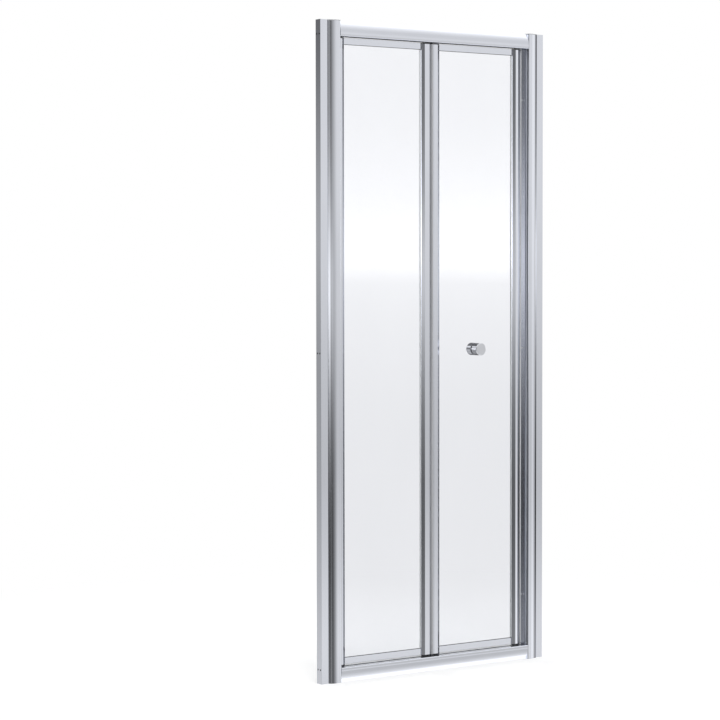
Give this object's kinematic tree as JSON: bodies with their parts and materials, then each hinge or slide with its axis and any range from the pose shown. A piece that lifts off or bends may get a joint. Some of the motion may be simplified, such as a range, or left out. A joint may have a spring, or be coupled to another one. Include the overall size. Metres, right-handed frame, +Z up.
{
  "type": "bifold shower door",
  "caption": "Bifold shower door: framed glass leaves joined by a fold hinge, turning on pivots and guided by tracks in a frame screwed between walls.",
  "frame": {"origin": "centre of the sill's underside, midway between the wall faces and in the middle of the wall channels' thickness", "axes": "+X along the width towards the closing side, -Y faces the room, +Y faces the shower, +Z up"},
  "size_m": [0.8, 0.0517, 1.85],
  "materials": {
    "polished_aluminium": "polished silver anodised",
    "clear_glass": "clear toughened",
    "clear_gasket": "milky, satin",
    "seal_rubber": "matt",
    "magnet_seal": "satin",
    "black_plastic": "matt",
    "grey_plastic": "satin",
    "white_nylon": "natural",
    "stainless_steel": "turned",
    "chrome_knob": "bright"
  },
  "bodies": {
    "frame": {"wall_channel_left": "polished_aluminium", "wall_channel_right": "polished_aluminium", "jamb_left": "polished_aluminium", "jamb_right": "polished_aluminium", "head_rail": "polished_aluminium", "sill_rail": "polished_aluminium", "jamb_top_caps": "grey_plastic", "corner_screws": "stainless_steel", "adjusting_screws": "stainless_steel", "screw_covers": "grey_plastic", "pivot_block_top": "white_nylon", "pivot_block_bottom": "white_nylon", "pivot_block_screws": "stainless_steel", "thrust_washer": "stainless_steel", "strike_profile": "polished_aluminium", "strike_magnet": "magnet_seal", "strike_screws": "stainless_steel", "pivot_side_seal": "seal_rubber"},
    "pivot_leaf": {"pivot_stile": "polished_aluminium", "pivot_leaf_hinge_stile": "polished_aluminium", "pivot_leaf_top_rail": "polished_aluminium", "pivot_leaf_bottom_rail": "polished_aluminium", "pivot_leaf_glass": "clear_glass", "pivot_leaf_gasket": "clear_gasket", "pivot_stile_end_caps": "black_plastic", "hinge_end_plates": "black_plastic", "top_pivot_pin": "stainless_steel", "bottom_pivot_pin": "stainless_steel", "hinge_pins": "stainless_steel", "pivot_leaf_screws": "stainless_steel", "pivot_leaf_wiper": "clear_gasket"},
    "lead_leaf": {"lead_leaf_hinge_stile": "polished_aluminium", "closing_stile": "polished_aluminium", "lead_leaf_top_rail": "polished_aluminium", "lead_leaf_bottom_rail": "polished_aluminium", "lead_leaf_glass": "clear_glass", "lead_leaf_gasket": "clear_gasket", "closing_stile_end_caps": "black_plastic", "lead_hinge_stile_end_caps": "black_plastic", "guide_bushes": "white_nylon", "hinge_bushes": "white_nylon", "lead_leaf_screws": "stainless_steel", "lead_leaf_wiper": "clear_gasket", "closing_magnet_strip": "seal_rubber", "knob_outer": "chrome_knob", "knob_inner": "chrome_knob", "knob_bolt": "stainless_steel", "knob_washers": "black_plastic"},
    "top_guide": {"top_guide_block": "white_nylon", "top_guide_pin": "stainless_steel"},
    "bottom_guide": {"bottom_guide_block": "white_nylon", "bottom_guide_pin": "stainless_steel"}
  },
  "joints": [
    {"name": "pivot_swing", "type": "hinge", "parent": "frame", "child": "pivot_leaf", "pos_m": [-0.32695, 0.003, 0.925], "axis": [0, 0, 1], "range_deg": [0, 85]},
    {"name": "fold_hinge", "type": "hinge", "parent": "pivot_leaf", "child": "lead_leaf", "pos_m": [-0.00975, -0.005, 0.925], "axis": [0, 0, 1], "range_deg": [-170, 0]},
    {"name": "top_guide_turn", "type": "hinge", "parent": "lead_leaf", "child": "top_guide", "pos_m": [0.30745, 0.003, 1.8], "axis": [0, 0, 1], "range_deg": [0, 85]},
    {"name": "bottom_guide_turn", "type": "hinge", "parent": "lead_leaf", "child": "bottom_guide", "pos_m": [0.30745, 0.003, 0.05], "axis": [0, 0, 1], "range_deg": [0, 85]}
  ],
  "couplings": [
    {"joint": "fold_hinge", "follows": "pivot_swing", "ratio": -2},
    {"joint": "top_guide_turn", "follows": "pivot_swing", "ratio": 1},
    {"joint": "bottom_guide_turn", "follows": "pivot_swing", "ratio": 1}
  ]
}
